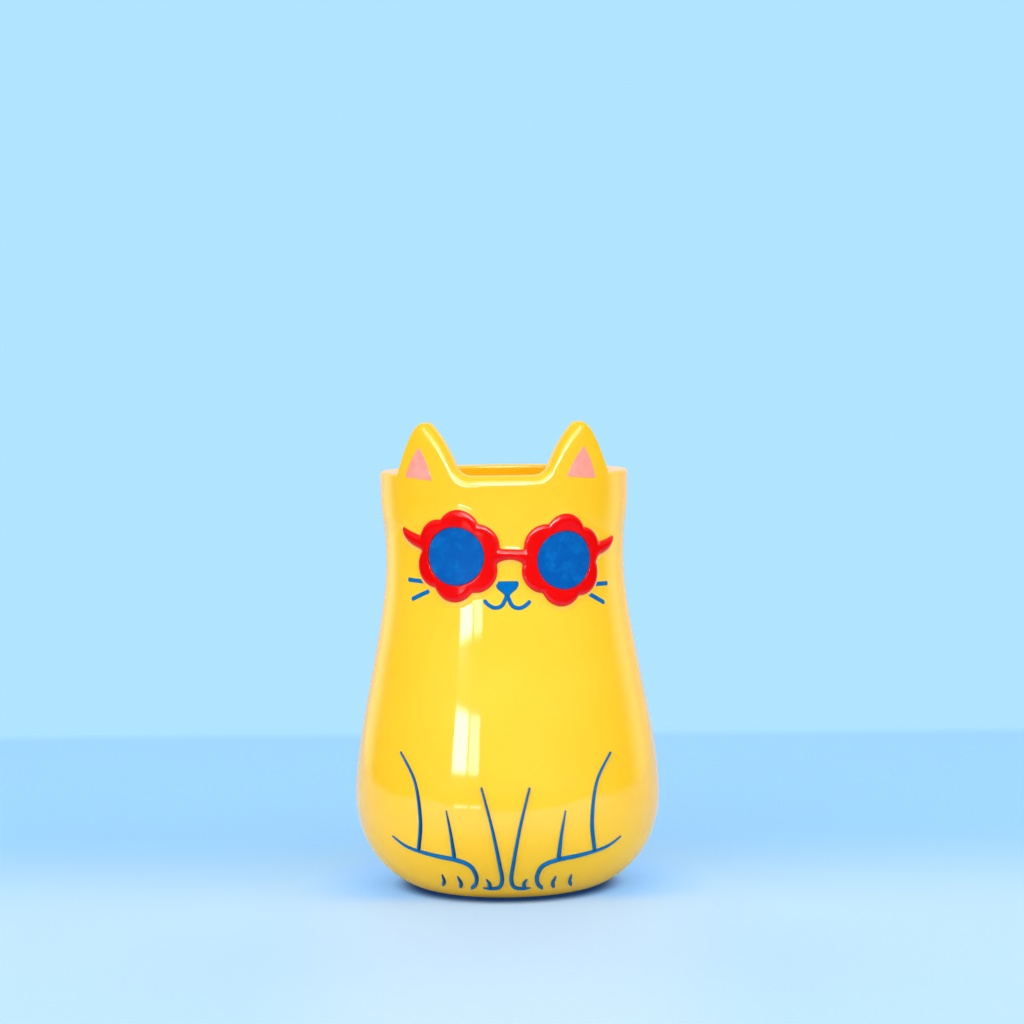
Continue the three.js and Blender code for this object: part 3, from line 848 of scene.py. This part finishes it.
def makePatch(name, outline, middle, rise, material, slot):
    outline, middle = np.array(outline), np.array(middle)
    over = 1 - paint["roundShare"] * np.linspace(0.3, 1, 3)
    level = np.linspace(paint["flatFrom"], paint["flatTo"], paint["flatRows"])
    scale = np.concatenate(([1.0, 1.0], over, level))
    rounded = rise * np.array([0.75, 0.95, 1.0])
    height = np.concatenate(([-paint["sunk"], 0.0], rounded, np.full(len(level), rise)))
    flat = middle + scale[:, None, None] * (outline - middle)
    rings = onWall(flat[..., 0], flat[..., 1], height[:, None])
    base, crown = onWall(middle[0], middle[1], np.array((-paint["sunk"], rise)))
    points, faces = loft(rings, base, crown)
    edge = np.clip((scale - paint["flatFrom"]) / (1 - paint["flatFrom"]), 0, 1)
    edge = np.append(np.repeat(edge, len(outline)), (1, 0))
    makePiece(name + "Enamel", points, faces, material, [name], attributes={"edge": edge})


def innerEar(side):
    half, rise, tip = ears["innerWidth"] / 2, ears["innerRise"], ears["innerTip"]
    bowX, bowY = half * ears["innerBow"][0], rise * ears["innerBow"][1]
    outline = np.concatenate((
        straight((-half, 0), (half, 0), 24),
        quadratic((half, 0), (bowX, bowY), (tip, rise - tip), 24),
        quadratic((tip, rise - tip), (0, rise + tip), (-tip, rise - tip), 16),
        quadratic((-tip, rise - tip), (-bowX, bowY), (-half, 0), 24),
    ))
    across = side * ears["azimuth"] * vase["rimRadius"] + ears["innerShift"]
    place = np.array((across, vase["rimHeight"] - ears["innerDrop"]))
    c, s = math.cos(ears["innerTurn"]), math.sin(ears["innerTurn"])
    return outline @ np.array(((c, s), (-s, c))) + place, place + (0, rise * ears["innerMiddle"])


for name, side in (("left_inner_ear", -1), ("right_inner_ear", 1)):
    makePatch(name, *innerEar(side), paint["earRise"], earFinish, "ear_pink")

face = {
    "shift": 0.85,
    "tilt": math.radians(-1.65),
    "noseDrop": 38.45,
    "noseWidth": 8.4,
    "noseHeight": 5.4,
    "noseTip": 0.9,
    "mouthLine": 1.5,
    "mouthCurl": [(0.25, 0), (0.45, -1.0), (1.95, -3.78), (4.45, -4.6), (6.87, -3.55), (8.6, -1.75)],
    "mouthTaper": (0.001, 0.05, 0.0, 0.0),
    "mouthOverlap": 0.25,
    "whiskerLine": 1.6,
    "whiskerTaper": (0.08, 0.08, 0.75, 0.75),
    "whiskers": {  # drop, gap from the rim, length and slope
        "upper_whisker": (9.85, -0.9, 9.95, 0.0),
        "lower_whisker": (13.1, 0.4, 10.0, math.radians(-23)),
    },
}


def noseOutline():
    half, tall, tip = face["noseWidth"] / 2, face["noseHeight"], face["noseTip"]
    jaw = (half * 0.75, -tall * 0.6)
    cheek = bezier((half * 0.75, 0), (half * 1.15, 0), (half * 1.05, -tall * 0.35), jaw, 24)
    throat = quadratic(jaw, (tip * 1.4, -tall * 0.85), (tip, -tall), 16)
    right = np.concatenate((cheek[:-1], throat))
    left = right[::-1] * (-1, 1)
    low, high = straight((tip, -tall), (-tip, -tall), 6), straight(left[-1], right[0], 12)
    return np.concatenate((right, low, left[:-1], high))[::-1]


nosePlace = np.array((face["shift"], vase["rimHeight"] - face["noseDrop"]))
noseMiddle = nosePlace - (0, face["noseHeight"] * 0.4)
makePatch("nose", noseOutline() + nosePlace, noseMiddle, paint["rise"], lineFinish, "line_blue")


def makeMouth():
    # two curls that share a stem: each is a stroke cut off at the middle line, and they are welded there
    top = vase["rimHeight"] - face["noseDrop"] - face["noseHeight"] + face["mouthOverlap"]
    path, share, _ = spline(face["mouthCurl"], 70)
    half = face["mouthLine"] / 2 * swell(share, *face["mouthTaper"])
    half[0] = half[1]
    a, offset = strokeSection(half)
    side = sides(path)
    across = np.maximum(path[:, :1] + side[:, :1] * offset, 0)
    up = path[:, 1:] + side[:, 1:] * offset
    height = np.concatenate((paint["rise"] * np.sin(a) ** paint["softness"], np.full(2, -paint["sunk"])))
    c, s = math.cos(face["tilt"]), math.sin(face["tilt"])
    rows, columns = across.shape
    quads = ringFaces(rows, columns)
    faces, points = [], []
    for start, mirrored in ((0, 1), (rows * columns, -1)):
        x, y = mirrored * across, up
        points.append(onWall(x * c - y * s + face["shift"], x * s + y * c + top, height).reshape(-1, 3))
        faces += (quads[:, ::mirrored] + start).tolist()
        stem = list(range(start, start + columns))
        tip = [corner + (rows - 1) * columns for corner in stem]
        faces += [stem[::-mirrored], tip[::mirrored]]
    edge = np.tile(np.concatenate((np.abs(np.cos(a)) ** strokes["edgePower"], (1, 1))), 2 * rows)
    makePiece("mouthEnamel", np.vstack(points), faces, lineFinish, ["mouth"], weld=True,
              attributes={"edge": edge})


makeMouth()


def makeWhisker(name, side, drop, gap, length, slope):
    # straight strokes that start at the rims
    inner = halfSpacing + math.sqrt((glasses["lensRadius"] + glasses["petalReach"]) ** 2 - drop**2) + gap
    ends = [(inner, -drop), (inner + length * math.cos(slope), length * math.sin(slope) - drop)]
    points = [onGlasses(side * u, v, face["tilt"]) for u, v in ends]
    makeStroke(name, points, face["whiskerLine"], face["whiskerTaper"], paint["rise"], paint["softness"],
               shaded=0.0, count=40)


for sideName, side in (("left", -1), ("right", 1)):
    for name, (drop, gap, length, slope) in face["whiskers"].items():
        makeWhisker(sideName + "_" + name, side, drop, gap, length, slope)
print("face ready")

# Raised lines of the legs and paws on the right-hand side, across and height above the bottom edge

legs = {"shift": -0.65, "tilt": 0.01, "rise": 0.85, "line": 1.6, "toe": 1.8, "shaded": 0.8}
legLines = {  # points, width and taper
    "haunch_line": ([(42.5, 55.1), (35.5, 45.2), (33.1, 31.2), (34.4, 19.4)], "line", (0.8, 0.02, 0.45, 0.9)),
    "hind_paw_line": (
        [(47.6, 23.4), (39.6, 20.1), (28.4, 18.1), (18.9, 16.9), (13.6, 14.9), (11.5, 11.6), (11.1, 8.7),
         (11.8, 6.4), (13.3, 4.9)],
        "line", (0.5, 0.06, 0.3, 1.08),
    ),
    "foreleg_outer_line": ([(22.25, 35.5), (20.6, 27.2), (19.4, 17.4)], "line", (0.9, 0.03, 0.3, 0.9)),
    "foreleg_inner_line": (
        [(8.85, 44.5), (5.1, 29.7), (2.3, 14.4), (1.7, 8.9), (2.7, 5.9), (5.4, 5.2), (8.9, 5.3)],
        "line", (0.8, 0.2, 0.48, 0.2),
    ),
    "outer_hind_toe": ([(24.8, 10.3), (24.15, 7.4), (24.8, 5.3)], "toe", (0.85, 0.2, 0.25, 1.15)),
    "inner_hind_toe": ([(18.5, 10.1), (17.3, 7.3), (17.5, 5.1)], "toe", (0.85, 0.2, 0.25, 1.15)),
    "fore_toe": ([(7.5, 9.4), (6.4, 7.4), (6.5, 5.3)], "toe", (0.85, 0.25, 0.25, 1.3)),
}


def onLegs(u, v):
    return legs["shift"] + u, vase["footHeight"] + v - legs["tilt"] * u


for sideName, side in (("left", -1), ("right", 1)):
    for name, (points, width, taper) in legLines.items():
        drawn = [onLegs(side * u, v) for u, v in points]
        makeStroke(sideName + "_" + name, drawn, legs[width], taper, legs["rise"], 1.0, legs["shaded"])
print("leg lines ready")


# Floor, light and camera

backdrop = srgb(177, 229, 255)
paper = {  # colours of the floor and where each begins and ends, in metres from the axis or along an axis; they hold painted light and shade: a lighter strip in front of the vase, darker towards the back, bluer shade round the vase, a dark painted contact shadow under the foot and a blue glow
    "radius": 3.0,
    "level": -0.0001,
    "front": (0.35, 0.44, 0.39, 1.0),
    # painted light: lighter in the middle, in front of the vase
    "centre": (0.41, 0.465, 0.41, 1.0),
    "centreLightReach": (0.03, 0.09),
    # painted shade: darker towards the back
    "back": (0.208, 0.36, 0.42, 1.0),
    "backShadeReach": (-0.06, 0.12),
    # painted shade: bluer round the sides and back of the vase
    "near": (0.2225, 0.392, 0.62, 1.0),
    "nearReach": (0.048, 0.085),
    "nearStart": (-0.045, -0.02),
    # painted contact shadow under the foot
    "gap": (0.01, 0.06, 0.2, 1.0),
    "contactShadowReach": (0.034, 0.0445),
    "glow": (0.08, 0.25, 0.55, 1.0),  # painted light: a blue glow that keeps the shade on the floor blue
    # painted light: a dimmer glow in the contact shadow
    "gapGlow": (0.0, 0.02, 0.09, 1.0),
    "glowReach": (0.036, 0.046),
    "bounce": (0.6, 0.7, 0.62, 1.0),
    "roughness": 0.6,
    "specular": 0.1,
    "fadeReach": (0.45, 0.9),
    "fadeBack": (0.385, 0.425),
    "fadeFront": (-0.5, -0.25),
    "backTurn": 0.029,
}
board = {  # the part of the floor that the glaze mirrors; there the floor glows as a painted reflection
    "start": (0.045, 0.15),
    "sides": (0.38, 0.78),
    "front": (-0.39, -0.31),
    "glare": (0.95, 1.1, 1.75, 1.0),
    "sheen": (0.55, 0.72, 1.0, 1.0),
    "sheenReach": (-0.17, -0.03),
}
glareStreak = {  # a painted glare that the glaze mirrors on the floor; reaches away from the axis, along the slant x / y, and along y
    "colour": (6.0, 5.6, 5.6, 1.0),
    "start": (0.38, 0.44),
    "end": (0.5, 0.6),
    "rightSide": (0.315, 0.35),
    "leftSide": (0.75, 0.8),
    "bar": 0.51,
    "barReach": (0.01, 0.03),
    "barLight": 0.4,
    "front": (-0.25, -0.2),
}


def floorMaterial():
    # the camera sees the paper's colours, with their painted light and shade and a painted blue glow, and the
    # glaze mirrors a board that glows as a painted reflection and ends in the room
    material, tree, shader = startMaterial("floorPaper")
    coords, (x, y, _) = position(tree, "Object")
    far = tree.nodes.new("ShaderNodeVectorMath")
    far.operation = "LENGTH"
    tree.links.new(coords, far.inputs[0])
    away, offAxis = far.outputs["Value"], maths(tree, "ABSOLUTE", x)
    paths = tree.nodes.new("ShaderNodeLightPath")
    seen, mirrored = paths.outputs["Is Camera Ray"], paths.outputs["Is Glossy Ray"]

    # painted light and shade: lighter in the middle in front, darker towards the back, bluer round the vase
    # and a dark painted contact shadow under the foot
    colour = tint(tree, spread(tree, offAxis, paper["centreLightReach"], 1, 0), paper["front"], paper["centre"])
    colour = tint(tree, spread(tree, y, paper["backShadeReach"]), colour, paper["back"])
    near = times(tree, spread(tree, away, paper["nearReach"], 1, 0), spread(tree, y, paper["nearStart"]))
    colour = tint(tree, near, colour, paper["near"])
    colour = tint(tree, spread(tree, away, paper["contactShadowReach"], 1, 0), colour, paper["gap"])
    connect(tree, tint(tree, seen, paper["bounce"], colour), shader.inputs["Base Color"])
    # painted light: a blue glow that only the camera sees, dimmer in the contact shadow
    shade = tint(tree, spread(tree, away, paper["glowReach"]), paper["gapGlow"], paper["glow"])
    connect(tree, shade, shader.inputs["Emission Color"])
    connect(tree, seen, shader.inputs["Emission Strength"])
    connect(tree, paper["roughness"], shader.inputs["Roughness"])
    connect(tree, paper["specular"], shader.inputs["Specular IOR Level"])

    # far off the paper passes into the backdrop's colour
    backLine = maths(tree, "ADD", y, times(tree, x, paper["backTurn"]))
    fade = spread(tree, away, paper["fadeReach"])
    fade = maths(tree, "MAXIMUM", fade, spread(tree, backLine, paper["fadeBack"]))
    fade = maths(tree, "MAXIMUM", fade, spread(tree, y, paper["fadeFront"], 1, 0))

    # a painted glare where the window would glare: the board glows on its front edge, to the left of the
    # middle
    slant = maths(tree, "DIVIDE", x, y)
    offBar = maths(tree, "ABSOLUTE", maths(tree, "SUBTRACT", slant, glareStreak["bar"]))
    streak = times(
        tree,
        spread(tree, away, glareStreak["start"]),
        spread(tree, away, glareStreak["end"], 1, 0),
        spread(tree, slant, glareStreak["rightSide"]),
        spread(tree, slant, glareStreak["leftSide"], 1, 0),
        spread(tree, offBar, glareStreak["barReach"], glareStreak["barLight"], 1),
        spread(tree, y, glareStreak["front"], 1, 0),
    )
    # painted reflection: the board glows for the glaze, brighter towards the front, with the glare streak on
    # it
    sheen = tint(tree, spread(tree, y, board["sheenReach"]), board["glare"], board["sheen"])
    sheen = tint(tree, streak, sheen, glareStreak["colour"])
    glow = tree.nodes.new("ShaderNodeEmission")
    connect(tree, tint(tree, mirrored, backdrop, sheen), glow.inputs["Color"])
    glowing = maths(tree, "MAXIMUM", times(tree, seen, fade),
                    times(tree, mirrored, spread(tree, away, board["start"])))

    # past the edges of the board the glaze mirrors the room
    past = spread(tree, offAxis, board["sides"])
    past = maths(tree, "MAXIMUM", past, spread(tree, y, board["front"], 1, 0))
    outside = times(tree, mirrored, past, spread(tree, streak, (0, 1), 1, 0))
    through = tree.nodes.new("ShaderNodeBsdfTransparent").outputs["BSDF"]
    surface = shader.outputs["BSDF"]
    for factor, other in ((glowing, glow.outputs["Emission"]), (outside, through)):
        mix = tree.nodes.new("ShaderNodeMixShader")
        tree.links.new(factor, mix.inputs["Fac"])
        tree.links.new(surface, mix.inputs[1])
        tree.links.new(other, mix.inputs[2])
        surface = mix.outputs["Shader"]
    tree.links.new(surface, tree.nodes["Material Output"].inputs["Surface"])
    return material


def makeFloor():
    # flat rings about the axis
    radius = np.concatenate(([0.01, 0.05], np.linspace(0.1, paper["radius"], 30)))[:, None]
    angle = np.linspace(0, 2 * np.pi, 96, endpoint=False)
    circles = together(radius * np.cos(angle), radius * np.sin(angle), paper["level"])
    points, faces = loft(circles, (0, 0, paper["level"]))
    mesh = bpy.data.meshes.new("floor")
    mesh.from_pydata(points.tolist(), [], [f[::-1] if len(f) == 3 else f for f in faces])
    mesh.materials.append(floorMaterial())
    floor = bpy.data.objects.new("floor", mesh)
    scene.collection.objects.link(floor)


room = {  # light from each direction, with the reach along x, y or z of the direction
    "fill": (0.4, 0.4, 0.4, 1.0),
    "front": 0.8,
    "side": 0.25,
    "sideReach": (-1, 0.35),
    "low": 0.75,
    "lowReach": (-0.05, 0.03),
    "ceiling": 27.0,
    "ceilingLow": (0.29, 0.36),
    "ceilingHigh": {"reach": (0.44, 0.56), "low": 1, "high": 0.1},
    "ceilingBack": {"reach": (-0.75, -0.4), "low": 1, "high": 0.05},
    "ceilingSide": {"reach": (0.3, 0.55), "low": 1, "high": 0.2},
    "behind": (0.38, 0.68),
    "behindTurn": 0.12,
    "reflector": (1.4, 1.3, 1.0, 1.0),
    "reflectorEnd": (1.0, 0.8, 0.72, 1.0),
    "reflectorReach": (0.74, 0.84),
}


def makeWorld():
    # soft fill from all round, the backdrop's colour where the camera looks,
    # and for reflections a room that is darker at the sides, under a bright ceiling, with pale paper behind
    world = bpy.data.worlds.new("studio")
    scene.world = world
    world.use_nodes = True
    world.cycles.sampling_method = "NONE"
    tree = world.node_tree
    _, (x, y, z) = position(tree, "Generated")
    walls = times(tree, spread(tree, y, room["sideReach"], room["front"], room["side"]),
                  spread(tree, z, room["lowReach"], room["low"], 1))
    ceiling = times(
        tree,
        spread(tree, z, room["ceilingLow"], 0, room["ceiling"]),
        spread(tree, y, **room["ceilingBack"]),
        spread(tree, z, **room["ceilingHigh"]),
        spread(tree, maths(tree, "ABSOLUTE", x), **room["ceilingSide"]),
    )
    grey = tree.nodes.new("ShaderNodeCombineColor")
    for channel in ("Red", "Green", "Blue"):
        tree.links.new(maths(tree, "ADD", walls, ceiling), grey.inputs[channel])
    turned = maths(tree, "ADD", y, times(tree, x, room["behindTurn"]))
    behind = tint(tree, spread(tree, turned, room["reflectorReach"]), room["reflector"], room["reflectorEnd"])
    mirrored = tint(tree, spread(tree, turned, room["behind"]), grey.outputs["Color"], behind)
    paths = tree.nodes.new("ShaderNodeLightPath")
    colour = tint(tree, paths.outputs["Is Glossy Ray"], room["fill"], mirrored)
    seen = maths(tree, "MAXIMUM", paths.outputs["Is Camera Ray"], paths.outputs["Is Transmission Ray"])
    connect(tree, tint(tree, seen, colour, backdrop), tree.nodes["Background"].inputs["Color"])


def addLamp(name, place, aim, wide, tall, radiance, mirrored=True):
    data = bpy.data.lights.new(name, "AREA")
    data.shape = "RECTANGLE"
    data.size, data.size_y = wide, tall
    data.energy = radiance * math.pi * wide * tall
    lamp = bpy.data.objects.new(name, data)
    scene.collection.objects.link(lamp)
    lamp.location = place
    lamp.rotation_euler = (Vector(aim) - Vector(place)).to_track_quat("-Z", "Y").to_euler()
    lamp.visible_glossy = mirrored


window = {
    "azimuth": math.radians(-31.5),
    "elevation": math.radians(8.6),
    "distance": 1.6,
    "aim": (0, 0, 0.08),
    "tall": 0.235,
    "panes": {"leftPane": (-0.125, 0.31, 15.0), "rightPane": (0.175, 0.21, 8.0)},  # offset, width, radiance
}


def makeWindow():
    # two tall panes side by side to the left of the camera
    a, e = window["azimuth"], window["elevation"]
    way = Vector((math.sin(a) * math.cos(e), -math.cos(a) * math.cos(e), math.sin(e)))
    centre = Vector(window["aim"]) + way * window["distance"]
    right = Vector((math.cos(a), math.sin(a), 0))
    for name, (offset, wide, radiance) in window["panes"].items():
        addLamp(name, centre + right * offset, window["aim"], wide, window["tall"], radiance)


softboxAim = (0, 0, 0.1)
softboxes = {  # place, width, height, radiance and whether it shows in the glaze
    "frontSoftbox": ((0.0, -1.0, 1.2), 1.4, 0.8, 2.5, True),
    "leftSoftbox": ((-1.1, -0.55, 0.75), 1.0, 0.8, 2.3, False),
    "rightSoftbox": ((1.1, -0.55, 0.75), 1.0, 0.8, 3.3, False),
    "backSoftbox": ((0.0, 1.1, 1.3), 1.6, 0.9, 2.1, False),
}

camera = {
    "place": (2.94, -1100.0, 211.5),
    "pitch": math.radians(3.63),
    "roll": math.radians(0.7),
    "focalPixels": 2904.6,
    "photoPixels": 1024,
    "sensor": 36,
    "clipStart": 0.05,
}


def makeCamera():
    data = bpy.data.cameras.new("photoView")
    data.sensor_width = camera["sensor"]
    data.lens = camera["focalPixels"] * camera["sensor"] / camera["photoPixels"]
    data.clip_start = camera["clipStart"]
    view = bpy.data.objects.new("photoView", data)
    scene.collection.objects.link(view)
    turn = Matrix.Rotation(math.pi / 2 - camera["pitch"], 4, "X") @ Matrix.Rotation(-camera["roll"], 4, "Z")
    view.matrix_world = Matrix.Translation(Vector(camera["place"]) * mm) @ turn
    scene.camera = view


makeFloor()
makeWorld()
makeWindow()
for name, (place, wide, tall, radiance, mirrored) in softboxes.items():
    addLamp(name, place, softboxAim, wide, tall, radiance, mirrored)
makeCamera()
print("stage ready")
